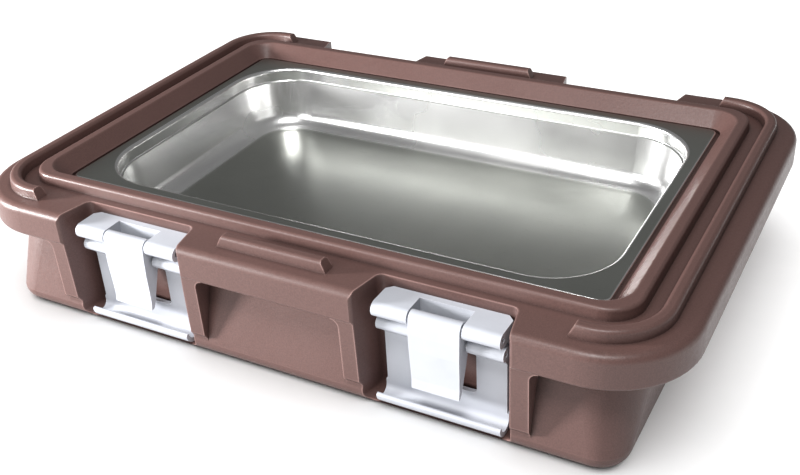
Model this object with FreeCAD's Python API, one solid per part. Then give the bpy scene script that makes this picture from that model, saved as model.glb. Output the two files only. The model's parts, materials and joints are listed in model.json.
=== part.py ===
"""Insulated food carrier base: rotomoulded double-wall body, steel food pan and four draw latches.

Frame: origin at the centre of the bottom face, X along the long side, the front is -Y, +Z up.
Sizes are in millimetres. Each node is written to parts/NODE.step.
"""
import FreeCAD, Part
import math
import os
from FreeCAD import Vector

# ---------------------------------------------------------------- driving dimensions
# Rounded rectangles are (half length, half width, corner radius)

# Food pan, gastronorm size 1/1, 65 deep
PAN_FLANGE = (265.0, 162.5, 8.0)
PAN_WELL = (253.0, 150.5, 62.0)            # outside of the well at the flange
PAN_DEPTH = 65.0
PAN_SHEET = 0.8
PAN_BEND = 3.5                             # inside bend between flange and well
PAN_BOTTOM_BEND = 18.0
PAN_SKIRT = 4.0                            # height of the turned-down flange edge
PAN_SHOULDER_DROP = 15.0                   # stacking shoulder below the flange
PAN_SHOULDER_STEP = 2.5
PAN_TAPER = 9.0                            # how far the walls close in below the shoulder

# Heights above the bottom face
FLANGE_Z = 108.0                           # top of the pan flange
SEAT_Z = FLANGE_Z - PAN_SKIRT
LIP_FOOT_Z = 107.0                         # the lip's inner slope starts here
LIP_TOP_Z = 121.0
SHELF_Z = 111.0
BAND_Z = 81.0                              # underside of the upper band
STRIP_Z = 22.0                             # the posts' feet fade into the wall here
BASE_Z = 14.0                              # the lower body's draft starts here
WELL_FLOOR_Z = 38.5
SILL_Z = 3.0                               # floor of the latch pockets

# Body outlines
BAND = (338.0, 235.0, 74.0)
WAIST = (308.0, 209.0, 50.0)               # lower body at the underside of the band
BASE = (302.0, 229.0, 26.0)
BASE_BEND = 13.0                           # bottom edge
LIP_OUTER = (292.5, 190.0, 27.0)
LIP_CREST_INNER = (283.0, 180.5, 26.0)
SEAT = (269.0, 166.5, 12.0)
WELL_TOP = (256.0, 153.5, 65.0)
WELL_FLOOR = (246.5, 144.0, 56.0)
WELL_BEND = 20.0
RIDGE_OUTER = (317.0, 217.5, 52.0)
RIDGE_INNER = (307.0, 207.5, 42.0)
RIM_DRAFT = 1.5                            # the lip and the ridge widen by this toward their feet
RIDGE_END_X = 256.0                        # the ridge stops here on the long sides
RIDGE_MID_X = 50.0                         # half length of its middle piece
RIDGE_END_DRAFT = 3.0
SKIN = 4.5                                 # plastic wall

# Latch pockets and the posts beside them
LATCH_X = 150.0                            # centre of a pocket
LATCH_SHIFT = 2.5                          # a latch sits this far right of it, seen from outside
POCKET_BACK_Y = 199.5
POCKET_HALF_FRONT = 66.0
POCKET_HALF_BACK = 59.0
POCKET_BEND = 6.5
POCKET_FLARE = 4.0                         # radius that softens the pocket's front corners
FLARE_START = 3.8                          # how far behind the front faces it begins
POST_INNER_X = 70.0
POST_OUTER_X = 231.0
POST_FACE_Y = 233.5
POST_CORNER = 7.0                          # where a post meets the band

# Latch, in its own frame: u along X, v outward from the body centre, z as above
LEVER_PIN = (223.0, 95.5)                  # (v, z)
HOOK_PIN = (217.5, 79.0)
PIN_RADIUS = 2.5
RUN_CLEARANCE = 0.08                       # radial, where a bore turns on a pin
LUG_RADIUS = 6.5
BRACKET_HALF = 54.0
BRACKET_PLATE = 6.0
BRACKET_RELIEF = 5.0                       # rear corners cut back to clear the pocket's bend
BRACKET_Z = (68.0, 102.0)
LUG_INNER = 23.2
LEVER_HALF = 21.6
LEVER_WALL = 3.5
LEVER_TIP_Z = 33.5
LEVER_TIP_HALF = 20.4
LEVER_TIP_BEND = 1.5
LEVER_FULL_Z = 80.0                        # the lever narrows from here to its tip
LEVER_HOLLOW = ((200.0, 86.5), (226.4, 86.5), (227.3, 80.0), (227.3, 60.0), (226.4, 40.0),
                (224.0, 37.5), (200.0, 37.5))      # (v, z)
HOOK_PLATE_HALF = 52.5
HOOK_LIP_HALF = 54.0
HOOK_REAR_V = 208.0
HOOK_WALL = 4.0
BARREL_RADIUS = 5.8
BARREL_SPAN = (23.7, 54.0)
WINDOW_HALF = 27.0
WINDOW_Z = 30.0
CURL_INNER = 6.8                           # inside radius of the curled lip
CURL_Z = 14.6
CURL_END = 352.0                           # degrees, where the curl stops
SCREW_SPOTS = ((-38.0, 76.0), (38.0, 76.0), (-12.0, 84.0), (12.0, 84.0))   # (u, z)
SCREW_RADIUS = 2.5
SCREW_HEAD = (5.0, 2.6)                    # countersunk head: radius, height
SCREW_LENGTH = 16.0
SOCKET = (1.5, 1.6)                        # hexagon socket: radius across corners, depth
INSERT = (4.0, 12.0)                       # radius, length
BOSS_RADIUS = 8.0
BOSS_LENGTH = 15.0

PORTS = ((-200.0, 0.0), (200.0, 0.0))      # foam filling ports in the bottom
PORT_RADIUS = 11.0
PLUG_HEAD = (14.0, 0.5, 2.0)               # radius, z from, z to
PLUG_TOP_Z = 7.0

LATCHES = {                                # name: (x of the centre, degrees about Z)
    "front_left": (-LATCH_X, 180.0),
    "front_right": (LATCH_X, 180.0),
    "rear_left": (-LATCH_X, 0.0),
    "rear_right": (LATCH_X, 0.0),
}
FAR = 400.0                                # beyond every face, for cutting tools
ORIGIN = Vector(0, 0, 0)


# ---------------------------------------------------------------- helpers
def save(name, shapes):
    """Check a node's solids and write them as one STEP file."""
    solids = [solid for shape in shapes for solid in shape.Solids]
    if not solids or not all(solid.isValid() for solid in solids):
        raise RuntimeError("bad solid in " + name)
    result = solids[0] if len(solids) == 1 else Part.makeCompound(solids)
    result.exportStep("parts/" + name + ".step")
    print(name, len(solids), "solid(s)", round(sum(s.Volume for s in solids) / 1000.0, 1), "cm3")


def grow(size, amount):
    """Rounded rectangle offset outward by amount."""
    return tuple(value + amount for value in size)


def outline(size, z):
    """Closed wire of a rounded rectangle centred on the Z axis."""
    half_x, half_y, radius = size
    edges = []
    last = None
    first = None
    for sign_x, sign_y, start in ((1, 1, 0), (-1, 1, 90), (-1, -1, 180), (1, -1, 270)):
        centre = Vector(sign_x * (half_x - radius), sign_y * (half_y - radius), z)
        points = []
        for angle in (start, start + 45, start + 90):
            turn = math.radians(angle)
            points.append(centre + Vector(radius * math.cos(turn), radius * math.sin(turn), 0))
        if last is None:
            first = points[0]
        else:
            edges.append(Part.makeLine(last, points[0]))
        edges.append(Part.Arc(*points).toShape())
        last = points[2]
    edges.append(Part.makeLine(last, first))
    return Part.Wire(edges)


def slab(size, z0, z1):
    """Rounded rectangle extruded from z0 to z1."""
    return Part.Face(outline(size, z0)).extrude(Vector(0, 0, z1 - z0))


def taper(size0, z0, size1, z1):
    """Straight loft between two rounded rectangles."""
    return Part.makeLoft([outline(size0, z0), outline(size1, z1)], True, True)


def box(x0, x1, y0, y1, z0, z1):
    return Part.makeBox(x1 - x0, y1 - y0, z1 - z0, Vector(x0, y0, z0))


def prism(points, direction):
    """Polygon through the points, extruded along direction."""
    return Part.Face(Part.makePolygon(list(points) + [points[0]])).extrude(direction)


def side_prism(profile, u0, u1):
    """Profile of (v, z) points, extruded along X from u0 to u1."""
    return prism([Vector(u0, v, z) for v, z in profile], Vector(u1 - u0, 0, 0))


def cross_bar(centre, radius, u0, u1):
    """Cylinder along X at (v, z)."""
    return Part.makeCylinder(radius, u1 - u0, Vector(u0, centre[0], centre[1]), Vector(1, 0, 0))


def flat_edges(shape, z):
    """Edges of the shape that lie in the horizontal plane at z."""
    return [e for e in shape.Edges if abs(e.BoundBox.ZMin - z) < 0.01 and abs(e.BoundBox.ZMax - z) < 0.01]


def upright_edges(shape):
    """Straight vertical edges of the shape."""
    return [e for e in shape.Edges if e.BoundBox.XLength < 0.01 and e.BoundBox.YLength < 0.01]


def along_edges(shape):
    """Straight edges of the shape that run along X."""
    return [e for e in shape.Edges if e.BoundBox.YLength < 0.01 and e.BoundBox.ZLength < 0.01]


def four_ways(tool):
    """A tool at the right rear and its mirror images in the other quarters."""
    left = tool.mirror(ORIGIN, Vector(1, 0, 0))
    return [tool, left, tool.mirror(ORIGIN, Vector(0, 1, 0)), left.mirror(ORIGIN, Vector(0, 1, 0))]


def at_latch(shape, latch):
    """Latch shape moved from its own frame to one corner of the body."""
    x, turn = LATCHES[latch]
    placed = shape.copy()
    placed.translate(Vector(-LATCH_SHIFT, 0, 0))
    placed.rotate(ORIGIN, Vector(0, 0, 1), turn)
    placed.translate(Vector(x, 0, 0))
    return placed


# ---------------------------------------------------------------- body
def pocket(inset):
    """Space of the right rear latch pocket, each face moved outward by inset."""
    wall = POCKET_BACK_Y - inset
    spread = (POCKET_HALF_FRONT - POCKET_HALF_BACK) / (BAND[1] - POCKET_BACK_Y)
    near = POCKET_HALF_BACK + inset
    wide = near + spread * (FAR - wall)
    floor = SILL_Z - inset
    points = [Vector(LATCH_X - near, wall, floor), Vector(LATCH_X + near, wall, floor),
              Vector(LATCH_X + wide, FAR, floor), Vector(LATCH_X - wide, FAR, floor)]
    space = prism(points, Vector(0, 0, FAR))
    if inset == 0:
        low = [e for e in space.Edges if e.BoundBox.ZMin < floor + 0.01 and e.BoundBox.YMin < FAR - 1]
        bends = [e for e in low if e.BoundBox.YMin < wall + 0.01 or e.BoundBox.ZMax < floor + 0.01]
        space = space.makeFillet(POCKET_BEND, bends)
    return space


def flares():
    """Rounded openings where the right rear pocket's side walls meet the front faces."""
    start = BAND[1] - FLARE_START
    end = start + POCKET_FLARE
    spread = (POCKET_HALF_FRONT - POCKET_HALF_BACK) / (BAND[1] - POCKET_BACK_Y)
    half = POCKET_HALF_FRONT - FLARE_START * spread
    nook = POCKET_FLARE * math.sqrt(0.5)
    low = SILL_Z + POCKET_BEND
    sides = []
    for sign in (-1, 1):
        x = LATCH_X + sign * half
        far_x = x + sign * POCKET_FLARE
        points = [Vector(x, start, low), Vector(far_x - sign * nook, start + nook, low),
                  Vector(far_x, end, low)]
        inner = Vector(LATCH_X, start, low)
        outer = Vector(LATCH_X, end, low)
        wire = Part.Wire([Part.Arc(*points).toShape(), Part.makeLine(points[2], outer),
                          Part.makeLine(outer, inner), Part.makeLine(inner, points[0])])
        sides.append(Part.Face(wire).extrude(Vector(0, 0, FAR)))
    return sides[0].fuse(sides[1])


def post_pair():
    """The two posts beside the right rear pocket, as one block with rounded band corners."""
    z_top = BAND_Z + SKIN
    r = POST_CORNER
    nook = r * (1 - math.sqrt(0.5))
    low = BASE_Z

    def at(x, z):
        return Vector(x, 190.0, z)

    edges = [
        Part.makeLine(at(POST_INNER_X, low), at(POST_INNER_X, BAND_Z - r)),
        Part.Arc(at(POST_INNER_X, BAND_Z - r), at(POST_INNER_X - nook, BAND_Z - nook),
                 at(POST_INNER_X - r, BAND_Z)).toShape(),
        Part.makeLine(at(POST_INNER_X - r, BAND_Z), at(POST_INNER_X - r, z_top)),
        Part.makeLine(at(POST_INNER_X - r, z_top), at(POST_OUTER_X + r, z_top)),
        Part.makeLine(at(POST_OUTER_X + r, z_top), at(POST_OUTER_X + r, BAND_Z)),
        Part.Arc(at(POST_OUTER_X + r, BAND_Z), at(POST_OUTER_X + nook, BAND_Z - nook),
                 at(POST_OUTER_X, BAND_Z - r)).toShape(),
        Part.makeLine(at(POST_OUTER_X, BAND_Z - r), at(POST_OUTER_X, low)),
        Part.makeLine(at(POST_OUTER_X, low), at(POST_INNER_X, low)),
    ]
    block = Part.Face(Part.Wire(edges)).extrude(Vector(0, 60, 0))
    profile = [(180, low - 1), (228.5, low - 1), (228.5, STRIP_Z - 3), (POST_FACE_Y - 1.5, STRIP_Z + 2),
               (POST_FACE_Y, BAND_Z), (POST_FACE_Y, z_top + 1), (180, z_top + 1)]
    return block.common(side_prism(profile, 0, FAR))


def seat_tool(inset):
    """Space above the pan's seat, widening to the lip's crest."""
    low = slab(grow(SEAT, inset), SEAT_Z - inset, LIP_FOOT_Z)
    slope = (LIP_CREST_INNER[0] - SEAT[0]) / (LIP_TOP_Z - LIP_FOOT_Z)
    rise = 4.0
    crest = grow(LIP_CREST_INNER, inset + slope * rise)
    high = taper(grow(SEAT, inset), LIP_FOOT_Z, crest, LIP_TOP_Z + rise)
    return low.fuse(high)


def well_tool(inset):
    """Space of the well that takes the pan."""
    well = taper(grow(WELL_FLOOR, inset), WELL_FLOOR_Z - inset, grow(WELL_TOP, inset), SEAT_Z + 1.0)
    return well.makeFillet(WELL_BEND + inset, flat_edges(well, WELL_FLOOR_Z - inset))


def ridge():
    """Low ridge outside the lip, broken along the long sides."""
    ring = taper(grow(RIDGE_OUTER, RIM_DRAFT), SHELF_Z - 2, RIDGE_OUTER, LIP_TOP_Z)
    ring = ring.cut(taper(grow(RIDGE_INNER, -RIM_DRAFT), SHELF_Z - 2, RIDGE_INNER, LIP_TOP_Z))
    ring = ring.makeFillet(3.5, flat_edges(ring, LIP_TOP_Z))
    draft = RIDGE_END_DRAFT
    top = LIP_TOP_Z + 2
    points = [Vector(RIDGE_MID_X + draft, 190, SHELF_Z), Vector(RIDGE_END_X - draft, 190, SHELF_Z),
              Vector(RIDGE_END_X + draft, 190, top), Vector(RIDGE_MID_X - draft, 190, top)]
    gap = prism(points, Vector(0, 60, 0))
    foot = box(RIDGE_MID_X + draft, RIDGE_END_X - draft, 190, 250, SHELF_Z - 3, SHELF_Z)
    for tool in four_ways(gap.fuse(foot)):
        ring = ring.cut(tool)
    return ring.Solids


def body_outside():
    """The body with all its outer faces, solid inside."""
    band = slab(BAND, BAND_Z, SHELF_Z)
    band = band.makeFillet(7.0, flat_edges(band, SHELF_Z))
    band = band.makeFillet(3.5, flat_edges(band, BAND_Z))
    lower = taper(BASE, BASE_Z, WAIST, BAND_Z + 6.0)
    base = slab(BASE, 0, BASE_Z)
    base = base.makeFillet(BASE_BEND, flat_edges(base, 0))
    form = band.fuse([lower, base] + four_ways(post_pair()))
    form = form.cut(seat_tool(0))
    form = form.cut(well_tool(0))
    lip = taper(grow(LIP_OUTER, RIM_DRAFT), SHELF_Z - 2, LIP_OUTER, LIP_TOP_Z)
    lip = lip.cut(seat_tool(0))
    lip = lip.makeFillet(3.0, flat_edges(lip, LIP_TOP_Z))
    form = form.fuse([lip] + ridge())
    for tool in four_ways(pocket(0)) + four_ways(flares()):
        form = form.cut(tool)
    return form


def body_inside():
    """The space between the skins."""
    band = slab(grow(BAND, -SKIN), BAND_Z + SKIN, SHELF_Z - SKIN)
    lower = taper(grow(BASE, -SKIN), BASE_Z, grow(WAIST, -SKIN), BAND_Z + SKIN + 1.0)
    base = slab(grow(BASE, -SKIN), SKIN, BASE_Z)
    base = base.makeFillet(BASE_BEND - SKIN, flat_edges(base, SKIN))
    space = band.fuse([lower, base])
    space = space.cut(seat_tool(SKIN))
    space = space.cut(well_tool(SKIN))
    for tool in four_ways(pocket(SKIN)):
        space = space.cut(tool)
    return space


def insert_tools(radius, length):
    """Cylinders behind every bracket screw, from the pocket wall inward."""
    tools = []
    for latch in LATCHES:
        for u, z in SCREW_SPOTS:
            tool = Part.makeCylinder(radius, length, Vector(u, POCKET_BACK_Y, z), Vector(0, -1, 0))
            tools.append(at_latch(tool, latch))
    return tools


def port_bar(x, y, radius, z0, z1):
    return Part.makeCylinder(radius, z1 - z0, Vector(x, y, z0))


def make_body():
    """Body skin, foam core, port plugs and threaded inserts."""
    foam = body_inside().cut(Part.makeCompound(insert_tools(BOSS_RADIUS, BOSS_LENGTH)))
    skin = body_outside().cut(foam)
    skin = skin.cut(Part.makeCompound(insert_tools(*INSERT)))
    plugs = []
    for x, y in PORTS:
        stem = port_bar(x, y, PORT_RADIUS, PLUG_HEAD[1], PLUG_TOP_Z)
        skin = skin.cut(port_bar(x, y, PLUG_HEAD[0], -1.0, PLUG_HEAD[2]))
        skin = skin.cut(stem)
        foam = foam.cut(stem)
        plugs.append(stem.fuse(port_bar(x, y, *PLUG_HEAD)))
    save("body_shell", [skin])
    save("foam_core", [foam])
    save("foam_fill_plugs", plugs)
    screw_holes = insert_tools(SCREW_RADIUS, INSERT[1] - 1.5)
    save("threaded_inserts", [a.cut(b) for a, b in zip(insert_tools(*INSERT), screw_holes)])


# ---------------------------------------------------------------- food pan
def pan_skin(offset):
    """Well of the pan below a plate, moved into the sheet by offset."""
    well = grow(PAN_WELL, -offset)
    below = grow(well, -PAN_SHOULDER_STEP)
    shoulder = FLANGE_Z - PAN_SHOULDER_DROP + offset
    bottom = FLANGE_Z - PAN_DEPTH + offset
    lower = taper(grow(below, -PAN_TAPER), bottom, below, shoulder)
    lower = lower.makeFillet(PAN_BOTTOM_BEND + PAN_SHEET - offset, flat_edges(lower, bottom))
    top = FLANGE_Z - PAN_SHEET + offset
    upper = slab(well, shoulder, top + 1.0)
    upper = upper.makeFillet(1.2, flat_edges(upper, shoulder))
    form = upper.fuse(lower)
    plate = slab(PAN_FLANGE, top, top + 2.0)
    form = form.fuse(plate).removeSplitter()
    inner = grow(well, 1.0)
    corner = [e for e in flat_edges(form, top) if all(
        abs(v.X) < inner[0] and abs(v.Y) < inner[1] for v in e.Vertexes)]
    return form.makeFillet(PAN_BEND + PAN_SHEET - offset, corner)


def make_pan():
    """Deep-drawn sheet pan with a turned-down flange edge."""
    rim = slab(PAN_FLANGE, SEAT_Z, FLANGE_Z)
    rim = rim.makeFillet(1.6, flat_edges(rim, FLANGE_Z))
    under = slab(grow(PAN_FLANGE, -PAN_SHEET), SEAT_Z - 1, FLANGE_Z - PAN_SHEET)
    under = under.makeFillet(0.8, flat_edges(under, FLANGE_Z - PAN_SHEET))
    outer = pan_skin(0)
    ceiling = box(-FAR, FAR, -FAR, FAR, FLANGE_Z, FLANGE_Z + 20)
    shell = rim.cut(under).fuse(outer.cut(ceiling).common(rim.fuse(slab(PAN_WELL, 0, FLANGE_Z))))
    save("food_pan", [shell.cut(pan_skin(PAN_SHEET))])


# ---------------------------------------------------------------- latch
def make_bracket():
    """Bracket plate with two lugs that hold the lever pin."""
    v0 = POCKET_BACK_Y
    v1 = v0 + BRACKET_PLATE
    plate = box(-BRACKET_HALF, BRACKET_HALF, v0, v1, *BRACKET_Z)
    ends = [e for e in plate.Edges if e.BoundBox.XLength < 0.01 and e.BoundBox.ZLength < 0.01]
    plate = plate.makeFillet(4.0, [e for e in ends if e.BoundBox.ZMin < BRACKET_Z[0] + 1])
    pin_v, pin_z = LEVER_PIN
    lug = box(LUG_INNER, BRACKET_HALF, v0, pin_v, pin_z - LUG_RADIUS, pin_z + LUG_RADIUS)
    lug = lug.fuse(cross_bar(LEVER_PIN, LUG_RADIUS, LUG_INNER, BRACKET_HALF))
    gusset = side_prism([(v1 - 1, 80), (v1, 84.5), (v1 + 4.5, pin_z - LUG_RADIUS), (v1 - 1, 90)],
                        LUG_INNER, BRACKET_HALF)
    lug = lug.fuse(gusset)
    form = plate.fuse([lug, lug.mirror(ORIGIN, Vector(1, 0, 0))])
    reach = BRACKET_RELIEF + 1
    corners = [(BRACKET_HALF - reach, v0 - 1), (BRACKET_HALF + 1, v0 - 1), (BRACKET_HALF + 1, v0 + reach)]
    relief = prism([Vector(u, v, 0) for u, v in corners], Vector(0, 0, FAR))
    form = form.cut(relief).cut(relief.mirror(ORIGIN, Vector(1, 0, 0)))
    form = form.cut(cross_bar(LEVER_PIN, PIN_RADIUS, -FAR, FAR))
    for u, z in SCREW_SPOTS:
        form = form.cut(Part.makeCylinder(SCREW_RADIUS, BRACKET_PLATE, Vector(u, v0, z), Vector(0, 1, 0)))
        form = form.cut(screw_head(u, z))
    return form


def screw_head(u, z):
    """Countersunk head, flush with the bracket plate."""
    radius, height = SCREW_HEAD
    start = Vector(u, POCKET_BACK_Y + BRACKET_PLATE - height, z)
    return Part.makeCone(SCREW_RADIUS, radius, height, start, Vector(0, 1, 0))


def make_screws():
    """The bracket's screws, with hexagon sockets."""
    screws = []
    front = POCKET_BACK_Y + BRACKET_PLATE
    for u, z in SCREW_SPOTS:
        shank = Part.makeCylinder(SCREW_RADIUS, SCREW_LENGTH, Vector(u, front - 1.0, z), Vector(0, -1, 0))
        points = []
        for step in range(6):
            turn = math.radians(60 * step)
            points.append(Vector(u + SOCKET[0] * math.cos(turn), front, z + SOCKET[0] * math.sin(turn)))
        screws.append(shank.fuse(screw_head(u, z)).cut(prism(points, Vector(0, -SOCKET[1], 0))))
    return screws


def make_lever():
    """Channel-shaped lever with a solid knuckle at the top."""
    pin_v, pin_z = LEVER_PIN
    hook_v, hook_z = HOOK_PIN
    profile = [(pin_v - 2, pin_z), (pin_v - 6.4, pin_z - 3), (hook_v - 5.4, hook_z + 1.5),
               (hook_v - 5.4, hook_z - 4), (hook_v - 3, hook_z - 9), (225.0, 38.0),
               (227.4, LEVER_TIP_Z), (230.6, LEVER_TIP_Z), (229.6, 42.0), (229.9, 55.0),
               (230.6, 70.0), (230.4, 84.0), (pin_v + LUG_RADIUS, pin_z)]
    form = side_prism(profile, -LEVER_HALF, LEVER_HALF)
    form = form.fuse(cross_bar(LEVER_PIN, LUG_RADIUS, -LEVER_HALF, LEVER_HALF)).removeSplitter()
    tip = [e for e in form.Edges if e.BoundBox.XLength < 0.01 and e.BoundBox.ZMax < LEVER_TIP_Z + 0.1]
    form = form.makeFillet(LEVER_TIP_BEND, tip)
    knuckle_z = pin_z + LUG_RADIUS + 1.0
    lean = (LEVER_HALF - LEVER_TIP_HALF) / (LEVER_FULL_Z - LEVER_TIP_Z)
    top_half = LEVER_TIP_HALF + lean * (knuckle_z - LEVER_TIP_Z)
    sides = [(-LEVER_TIP_HALF, LEVER_TIP_Z - 1), (LEVER_TIP_HALF, LEVER_TIP_Z - 1),
             (top_half, knuckle_z), (-top_half, knuckle_z)]
    form = form.common(prism([Vector(u, 190, z) for u, z in sides], Vector(0, 60, 0)))
    half = LEVER_HALF - LEVER_WALL
    form = form.cut(side_prism(LEVER_HOLLOW, -half, half))
    form = form.cut(cross_bar(HOOK_PIN, PIN_RADIUS, -FAR, FAR))
    return form.cut(cross_bar(LEVER_PIN, PIN_RADIUS + RUN_CLEARANCE, -FAR, FAR))


def make_hook():
    """Hook plate with a window for the lever, two barrels and a curled lip."""
    v0, v1 = HOOK_REAR_V, HOOK_REAR_V + HOOK_WALL
    pin_v, pin_z = HOOK_PIN
    half = HOOK_PLATE_HALF
    plate = box(-half, half, v0, v1, CURL_Z, pin_z)
    window = box(-WINDOW_HALF, WINDOW_HALF, v0 - 1, v1 + 1, WINDOW_Z, pin_z + 1)
    lower = [e for e in window.Edges if e.BoundBox.XLength < 0.01 and e.BoundBox.ZLength < 0.01
             and e.BoundBox.ZMin < WINDOW_Z + 1]
    form = plate.cut(window.makeFillet(4.0, lower))
    web = side_prism([(v0, pin_z - 8), (v0, pin_z), (v0 + 2, pin_z + 4), (pin_v, pin_z + BARREL_RADIUS),
                      (pin_v, pin_z - BARREL_RADIUS), (v1, pin_z - 13)], WINDOW_HALF, half)
    barrel = cross_bar(HOOK_PIN, BARREL_RADIUS, *BARREL_SPAN)
    side = web.fuse(barrel)
    form = form.fuse([side, side.mirror(ORIGIN, Vector(1, 0, 0)), make_curl()])
    return form.cut(cross_bar(HOOK_PIN, PIN_RADIUS + RUN_CLEARANCE, -FAR, FAR))


def make_curl():
    """The hook's curled lip."""
    centre_v = HOOK_REAR_V + HOOK_WALL + CURL_INNER
    outer = CURL_INNER + HOOK_WALL
    middle = CURL_INNER + HOOK_WALL / 2
    half = HOOK_LIP_HALF

    def at(radius, angle):
        turn = math.radians(angle)
        return Vector(-half, centre_v + radius * math.cos(turn), CURL_Z + radius * math.sin(turn))

    mid = (180.0 + CURL_END) / 2
    rise = Vector(0, 0, 4.0)
    turn_end = math.radians(CURL_END)
    nose = Vector(0, -math.sin(turn_end), math.cos(turn_end)) * (HOOK_WALL / 2)
    edges = [
        Part.Arc(at(outer, 180), at(outer, mid), at(outer, CURL_END)).toShape(),
        Part.Arc(at(outer, CURL_END), at(middle, CURL_END) + nose, at(CURL_INNER, CURL_END)).toShape(),
        Part.Arc(at(CURL_INNER, CURL_END), at(CURL_INNER, mid), at(CURL_INNER, 180)).toShape(),
        Part.makeLine(at(CURL_INNER, 180), at(CURL_INNER, 180) + rise),
        Part.makeLine(at(CURL_INNER, 180) + rise, at(outer, 180) + rise),
        Part.makeLine(at(outer, 180) + rise, at(outer, 180)),
    ]
    return Part.Face(Part.Wire(edges)).extrude(Vector(2 * half, 0, 0))


def make_latches():
    """All four latches, turned to the front or the rear."""
    pieces = {
        "latch_bracket": [make_bracket()],
        "bracket_screws": make_screws(),
        "lever_pin": [cross_bar(LEVER_PIN, PIN_RADIUS, -BRACKET_HALF + 0.5, BRACKET_HALF - 0.5)],
        "latch_lever": [make_lever()],
        "hook_pin": [cross_bar(HOOK_PIN, PIN_RADIUS, -BARREL_SPAN[1] + 0.5, BARREL_SPAN[1] - 0.5)],
        "latch_hook": [make_hook()],
    }
    for latch in LATCHES:
        for name, shapes in pieces.items():
            save(name + "_" + latch, [at_latch(shape, latch) for shape in shapes])


os.makedirs("parts", exist_ok=True)
make_latches()
make_pan()
make_body()
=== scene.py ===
"""Looks for the insulated food carrier: materials, light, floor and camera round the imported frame."""
import json
import math

import bpy
from mathutils import Matrix, Vector


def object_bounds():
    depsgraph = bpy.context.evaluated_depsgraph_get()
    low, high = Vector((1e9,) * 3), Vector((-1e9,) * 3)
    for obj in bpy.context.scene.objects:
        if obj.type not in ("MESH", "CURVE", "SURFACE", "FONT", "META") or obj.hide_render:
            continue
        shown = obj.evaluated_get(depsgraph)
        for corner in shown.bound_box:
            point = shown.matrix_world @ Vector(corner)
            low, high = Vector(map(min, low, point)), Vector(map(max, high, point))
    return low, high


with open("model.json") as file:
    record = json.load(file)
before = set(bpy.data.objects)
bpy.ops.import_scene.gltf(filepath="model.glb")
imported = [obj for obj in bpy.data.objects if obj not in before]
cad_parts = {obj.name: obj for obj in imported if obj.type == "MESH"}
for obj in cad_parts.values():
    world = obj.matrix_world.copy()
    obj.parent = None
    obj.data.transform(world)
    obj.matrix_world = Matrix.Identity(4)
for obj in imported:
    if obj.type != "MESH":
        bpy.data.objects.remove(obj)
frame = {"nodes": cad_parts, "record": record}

cad_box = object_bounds()

# ---------------------------------------------------------------- view and light settings
AZIMUTH = 29.704            # degrees, 0 looks along +Y
ELEVATION = 30.569
ROLL = -3.187
CAMERA_AT = (0.4596, -0.8099, 0.5632)
FOCAL_PX = 1076.9           # for an 800 pixel wide image
IMAGE_WIDTH = 800
SENSOR_MM = 36.0

FLOOR_HALF = 12.0
FLOOR_GAP = 0.0002          # the floor lies this far under the object
WORLD_STRENGTH = 0.19
LIGHT_AIM = (0, 0, 0.06)
LIGHTS = (                  # name, azimuth, elevation, distance, size, power, whether the floor gets it
    ("key", -57.0, 11.0, 1.5, 0.22, 56.0, "EXCLUDE"),
    ("overhead", 15.0, 62.0, 1.8, 0.6, 27.0, "EXCLUDE"),
    ("panel", -28.0, 24.0, 2.2, 1.1, 20.0, "EXCLUDE"),
    ("sweep", 0.0, 89.0, 3.0, 6.0, 300.0, "INCLUDE"),
)

# ---------------------------------------------------------------- colours and surface settings
PLASTIC_COLOUR = (0.096, 0.052, 0.046)
# colour of the painted highlight along the plastic's outer edges
PLASTIC_HIGHLIGHT_COLOUR = (0.33, 0.205, 0.185)
PLASTIC_HIGHLIGHT_WIDTH = 0.0025       # width of the painted edge highlight
PAINTED_SHADE_DEPTH = 0.005          # painted shade: inner corners darken within this distance
LATCH_COLOUR = (0.42, 0.435, 0.475)
# colour and width of the painted highlight along the latch edges
LATCH_HIGHLIGHT_COLOUR = (0.58, 0.59, 0.63)
LATCH_HIGHLIGHT_WIDTH = 0.0012
# painted reflection: darker colours for the level floor and flange, brighter ones for the upright walls
PAN_LEVEL_SHADED_COLOURS = ((0.34, 0.35, 0.325), (0.42, 0.43, 0.40))
PAN_UPRIGHT_LIT_COLOURS = ((0.84, 0.84, 0.84), (0.92, 0.92, 0.91))
STEEL_COLOURS = ((0.55, 0.55, 0.56), (0.66, 0.66, 0.67))
BRASS_COLOURS = ((0.52, 0.36, 0.12), (0.70, 0.52, 0.22))
FOAM_COLOURS = ((0.62, 0.50, 0.24), (0.80, 0.70, 0.44))
FLOOR_COLOURS = ((0.90, 0.90, 0.90), (0.93, 0.93, 0.93))


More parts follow.
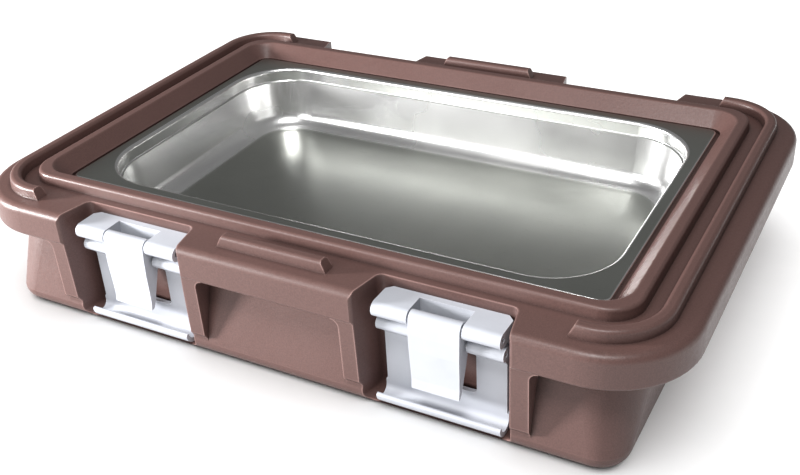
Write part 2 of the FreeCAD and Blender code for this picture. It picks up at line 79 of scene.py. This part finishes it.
# ---------------------------------------------------------------- node helpers
class Graph:
    """Short calls for building one material's node tree."""

    def __init__(self, name):
        self.material = bpy.data.materials.new(name)
        self.material.use_nodes = True
        self.tree = self.material.node_tree
        self.shader = self.tree.nodes["Principled BSDF"]
        self.coords = self.tree.nodes.new("ShaderNodeTexCoord").outputs["Object"]

    def node(self, kind, **settings):
        made = self.tree.nodes.new(kind)
        for key, value in settings.items():
            setattr(made, key, value)
        return made

    def link(self, output, socket):
        self.tree.links.new(output, socket)

    def feed(self, socket, value):
        if isinstance(value, bpy.types.NodeSocket):
            self.link(value, socket)
        else:
            socket.default_value = value

    def noise(self, scale, detail=2.0, rough=0.5, stretch=(1, 1, 1)):
        mapping = self.node("ShaderNodeMapping")
        self.link(self.coords, mapping.inputs["Vector"])
        mapping.inputs["Scale"].default_value = stretch
        made = self.node("ShaderNodeTexNoise")
        self.link(mapping.outputs["Vector"], made.inputs["Vector"])
        made.inputs["Scale"].default_value = scale
        made.inputs["Detail"].default_value = detail
        made.inputs["Roughness"].default_value = rough
        return made.outputs["Fac"]

    def ramp(self, value, low, high, out_low=0.0, out_high=1.0):
        made = self.node("ShaderNodeMapRange")
        made.clamp = True
        self.link(value, made.inputs["Value"])
        settings = {"From Min": low, "From Max": high, "To Min": out_low, "To Max": out_high}
        for key, number in settings.items():
            made.inputs[key].default_value = number
        return made.outputs["Result"]

    def spread(self, value, out_low=0.0, out_high=1.0):
        """Noise stretched over its usual range."""
        return self.ramp(value, 0.3, 0.7, out_low, out_high)

    def math(self, operation, a, b=0.0):
        made = self.node("ShaderNodeMath", operation=operation)
        self.feed(made.inputs[0], a)
        self.feed(made.inputs[1], b)
        return made.outputs["Value"]

    def mix(self, factor, a, b):
        made = self.node("ShaderNodeMix", data_type="RGBA")
        self.feed(made.inputs["Factor"], factor)
        self.feed(made.inputs["A"], a if isinstance(a, bpy.types.NodeSocket) else (*a, 1.0))
        self.feed(made.inputs["B"], b if isinstance(b, bpy.types.NodeSocket) else (*b, 1.0))
        return made.outputs["Result"]

    def bump(self, height, strength, distance, after=None):
        made = self.node("ShaderNodeBump")
        self.link(height, made.inputs["Height"])
        made.inputs["Strength"].default_value = strength
        made.inputs["Distance"].default_value = distance
        if after is not None:
            self.link(after, made.inputs["Normal"])
        return made.outputs["Normal"]

    def edges(self, radius):
        """1 on edges, outer and inner, within about the radius, 0 on open faces."""
        bevel = self.node("ShaderNodeBevel", samples=6)
        bevel.inputs["Radius"].default_value = radius
        geometry = self.node("ShaderNodeNewGeometry")
        dot = self.node("ShaderNodeVectorMath", operation="DOT_PRODUCT")
        self.link(bevel.outputs["Normal"], dot.inputs[0])
        self.link(geometry.outputs["Normal"], dot.inputs[1])
        return self.ramp(dot.outputs["Value"], 1.0, 0.85)

    def openness(self, distance):
        """1 on open faces and outer edges, lower in inner corners."""
        made = self.node("ShaderNodeAmbientOcclusion", samples=6)
        made.inputs["Distance"].default_value = distance
        return made.outputs["AO"]


def shade(graph, colour=None, rough=None, normal=None, **constants):
    sockets = graph.shader.inputs
    if colour is not None:
        graph.feed(sockets["Base Color"], colour)
    if rough is not None:
        graph.feed(sockets["Roughness"], rough)
    if normal is not None:
        graph.link(normal, sockets["Normal"])
    for key, value in constants.items():
        sockets[key.replace("_", " ")].default_value = value
    return graph.material


def tint(colour, gain):
    return tuple(min(1.0, c * gain) for c in colour)


# ---------------------------------------------------------------- materials
def body_plastic():
    """Rotomoulded polyethylene with a fine stone speckle and a pebbled skin, painted shade in its inner
    corners and a painted highlight along its edges.
    """
    g = Graph("body_plastic")
    fine = g.noise(900.0, 3.0, 0.65)
    coarse = g.noise(260.0, 2.0, 0.6)
    cloud = g.noise(9.0, 3.0, 0.5)
    dark = g.mix(g.ramp(fine, 0.35, 0.65), tint(PLASTIC_COLOUR, 0.84), tint(PLASTIC_COLOUR, 1.16))
    colour = g.mix(g.ramp(coarse, 0.62, 0.74, 0.0, 0.2), dark, tint(PLASTIC_COLOUR, 0.75))
    colour = g.mix(g.ramp(cloud, 0.35, 0.7, 0.0, 0.25), colour, tint(PLASTIC_COLOUR, 1.25))
    # painted shade: the colour darkens in inner corners and creases, where shade falls
    painted_shade_ao = g.openness(PAINTED_SHADE_DEPTH)
    colour = g.mix(g.ramp(painted_shade_ao, 0.55, 0.92, 0.75, 0.0), colour, tint(PLASTIC_COLOUR, 0.3))
    # painted highlight: paler colour along outer edges, kept out of inner corners, where light would catch
    # the rounding
    edge_highlight = g.math("MULTIPLY", g.edges(PLASTIC_HIGHLIGHT_WIDTH), g.ramp(painted_shade_ao, 0.75, 0.95))
    edge_highlight = g.math("MULTIPLY", edge_highlight, g.spread(cloud, 0.5, 0.9))
    colour = g.mix(edge_highlight, colour, PLASTIC_HIGHLIGHT_COLOUR)
    rough = g.math("ADD", g.spread(coarse, 0.34, 0.44), g.spread(cloud, -0.04, 0.05))
    normal = g.bump(fine, 0.18, 0.0004)
    normal = g.bump(g.noise(320.0, 2.0, 0.5), 0.14, 0.0007, normal)
    return shade(g, colour, rough, normal, Specular_IOR_Level=0.36)


def latch_plastic():
    """White nylon with a faint mould texture and a painted highlight along its edges."""
    g = Graph("latch_plastic")
    cloud = g.noise(30.0, 3.0, 0.5)
    fine = g.noise(700.0, 2.0, 0.5)
    colour = g.mix(g.spread(cloud), tint(LATCH_COLOUR, 0.95), tint(LATCH_COLOUR, 1.04))
    # painted highlight: paler colour along the edges
    colour = g.mix(g.math("MULTIPLY", g.edges(LATCH_HIGHLIGHT_WIDTH), 0.5), colour, LATCH_HIGHLIGHT_COLOUR)
    rough = g.spread(fine, 0.30, 0.42)
    return shade(g, colour, rough, g.bump(fine, 0.15, 0.0003), Specular_IOR_Level=0.5)


def pan_steel():
    """Stainless sheet: polished well walls, satin floor and flange, with painted reflection: the walls
    coloured bright and the floor and flange dark.
    """
    g = Graph("pan_steel")
    normal = g.node("ShaderNodeNewGeometry").outputs["Normal"]
    up = g.node("ShaderNodeSeparateXYZ")
    g.link(normal, up.inputs[0])
    flat = g.ramp(g.math("ABSOLUTE", up.outputs["Z"]), 0.97, 0.999)
    brushed = g.noise(60.0, 4.0, 0.7, (1.0, 60.0, 1.0))
    grain = g.noise(1500.0, 2.0, 0.6)
    cloud = g.noise(7.0, 3.0, 0.5)
    satin = g.spread(brushed, 0.27, 0.35)
    polished = g.spread(cloud, 0.20, 0.30)
    rough = g.math("ADD", g.math("MULTIPLY", flat, satin),
                   g.math("MULTIPLY", g.math("SUBTRACT", 1.0, flat), polished))
    # painted reflection: level faces darker, upright walls brighter, for how each catches the light
    level_shaded = g.mix(g.spread(cloud), *PAN_LEVEL_SHADED_COLOURS)
    upright_lit = g.mix(g.spread(cloud), *PAN_UPRIGHT_LIT_COLOURS)
    colour = g.mix(flat, upright_lit, level_shaded)
    return shade(g, colour, rough, g.bump(grain, 0.04, 0.0002), Metallic=1.0)


def plain_steel(name, gain, low, high):
    """Turned steel with fine grinding lines."""
    g = Graph(name)
    lines = g.noise(400.0, 3.0, 0.6, (0.1, 4.0, 4.0))
    colour = g.mix(g.spread(lines), *(tint(steel, gain) for steel in STEEL_COLOURS))
    return shade(g, colour, g.spread(lines, low, high), g.bump(lines, 0.08, 0.0002), Metallic=1.0)


def insert_brass():
    """Brass with a knurl-like grain."""
    g = Graph("insert_brass")
    lines = g.noise(900.0, 2.0, 0.6, (1.0, 0.2, 1.0))
    colour = g.mix(g.spread(lines), *BRASS_COLOURS)
    return shade(g, colour, g.spread(lines, 0.28, 0.4), g.bump(lines, 0.4, 0.0004), Metallic=1.0)


def foam():
    """Rigid closed-cell foam."""
    g = Graph("foam")
    cells = g.noise(700.0, 3.0, 0.6)
    colour = g.mix(g.spread(cells), *FOAM_COLOURS)
    return shade(g, colour, 0.9, g.bump(cells, 0.6, 0.001))


def plug_plastic():
    """Darker plastic of the port plugs."""
    g = Graph("plug_plastic")
    fine = g.noise(600.0, 2.0, 0.6)
    colour = g.mix(g.ramp(fine, 0.35, 0.65), tint(PLASTIC_COLOUR, 0.45), tint(PLASTIC_COLOUR, 0.65))
    return shade(g, colour, g.spread(fine, 0.5, 0.62), g.bump(fine, 0.2, 0.0004))


def floor_paper():
    """Plain pale floor."""
    g = Graph("floor_paper")
    fine = g.noise(40.0, 2.0, 0.5)
    colour = g.mix(fine, *FLOOR_COLOURS)
    return shade(g, colour, 0.9)


# ---------------------------------------------------------------- dressing the frame
MATERIALS = {
    "body_plastic": body_plastic(),
    "latch_plastic": latch_plastic(),
    "pan_steel": pan_steel(),
    "pin_steel": plain_steel("pin_steel", 1.0, 0.20, 0.32),
    "screw_steel": plain_steel("screw_steel", 0.85, 0.28, 0.40),
    "insert_brass": insert_brass(),
    "foam": foam(),
    "plug_plastic": plug_plastic(),
}


def dress():
    """Give every node the material of its slot."""
    slots = {entry["node"]: entry["material_slot"] for entry in frame["record"]["subparts"]}
    for node, piece in frame["nodes"].items():
        material = MATERIALS[slots[node]]
        if not piece.data.materials:
            piece.data.materials.append(material)
        for index in range(len(piece.material_slots)):
            piece.material_slots[index].link = "OBJECT"
            piece.material_slots[index].material = material


def add_floor():
    half = FLOOR_HALF
    mesh = bpy.data.meshes.new("floor")
    corners = [(-half, -half, 0), (half, -half, 0), (half, half, 0), (-half, half, 0)]
    mesh.from_pydata(corners, [], [(0, 1, 2, 3)])
    floor = bpy.data.objects.new("floor", mesh)
    floor.location = (0, 0, cad_box[0][2] - FLOOR_GAP)
    bpy.context.scene.collection.objects.link(floor)
    mesh.materials.append(floor_paper())


def add_light(name, azimuth, elevation, distance, size, power, floor_state):
    """Soft square light, placed by its direction from the object. It skips the floor or lights only that."""
    data = bpy.data.lights.new(name, "AREA")
    data.shape = "SQUARE"
    data.size = size
    data.energy = power
    light = bpy.data.objects.new(name, data)
    turn, lift = math.radians(azimuth), math.radians(elevation)
    way = Vector((math.sin(turn) * math.cos(lift), -math.cos(turn) * math.cos(lift), math.sin(lift)))
    light.location = Vector(LIGHT_AIM) + way * distance
    light.rotation_euler = way.to_track_quat("Z", "Y").to_euler()
    bpy.context.scene.collection.objects.link(light)
    reach = bpy.data.collections.new(name + "_floor")
    reach.objects.link(bpy.data.objects["floor"])
    reach.collection_objects[0].light_linking.link_state = floor_state
    light.light_linking.receiver_collection = reach


def add_world():
    world = bpy.data.worlds.new("studio")
    bpy.context.scene.world = world
    world.use_nodes = True
    sky = world.node_tree.nodes["Background"]
    sky.inputs["Color"].default_value = (1.0, 1.0, 1.0, 1.0)
    sky.inputs["Strength"].default_value = WORLD_STRENGTH


def add_camera():
    data = bpy.data.cameras.new("camera")
    data.sensor_width = SENSOR_MM
    data.lens = FOCAL_PX / IMAGE_WIDTH * SENSOR_MM
    data.clip_start = 0.01
    camera = bpy.data.objects.new("camera", data)
    az, el, roll = (math.radians(a) for a in (AZIMUTH, ELEVATION, ROLL))
    back = Vector((math.sin(az) * math.cos(el), -math.cos(az) * math.cos(el), math.sin(el)))
    right = Vector((math.cos(az), math.sin(az), 0.0))
    up = back.cross(right)
    rolled_right = right * math.cos(roll) + up * math.sin(roll)
    rolled_up = up * math.cos(roll) - right * math.sin(roll)
    turn = Matrix((rolled_right, rolled_up, back)).transposed()
    camera.matrix_world = Matrix.Translation(CAMERA_AT) @ turn.to_4x4()
    bpy.context.scene.collection.objects.link(camera)
    bpy.context.scene.camera = camera


dress()
add_floor()
add_world()
for light_settings in LIGHTS:
    add_light(*light_settings)
add_camera()
bpy.context.scene.view_settings.view_transform = "Standard"
